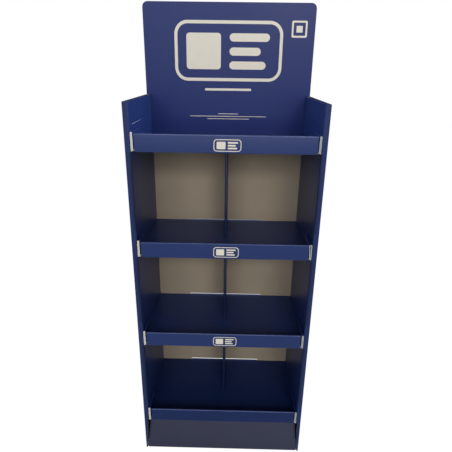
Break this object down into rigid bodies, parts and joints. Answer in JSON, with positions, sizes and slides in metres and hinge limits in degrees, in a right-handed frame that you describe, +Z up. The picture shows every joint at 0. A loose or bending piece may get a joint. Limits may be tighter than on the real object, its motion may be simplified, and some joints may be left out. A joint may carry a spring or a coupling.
{
  "type": "cardboard display stand",
  "caption": "Free-standing floor display of folded blue corrugated board: shelf trays with rolled lips, dividers, a header card and a sloped kick panel.",
  "frame": {"origin": "middle of the base's box, on the surface that the stand stands on", "axes": "+Z up, -Y to the open front, +X to the right of someone who faces the shelves"},
  "size_m": [0.6, 0.363, 1.6185],
  "materials": {
    "printed_board": "satin print on one face, pale raw edges",
    "plain_board": "matt, unprinted"
  },
  "bodies": {
    "root": {"wrap": "printed_board", "header_card": "printed_board", "bottom_tray": "printed_board", "lower_tray": "printed_board", "upper_tray": "printed_board", "top_tray": "printed_board", "lower_divider": "printed_board", "middle_divider": "printed_board", "upper_divider": "printed_board", "kick_panel": "printed_board", "long_rib": "plain_board", "left_cross_rib": "plain_board", "right_cross_rib": "plain_board"}
  },
  "joints": []
}
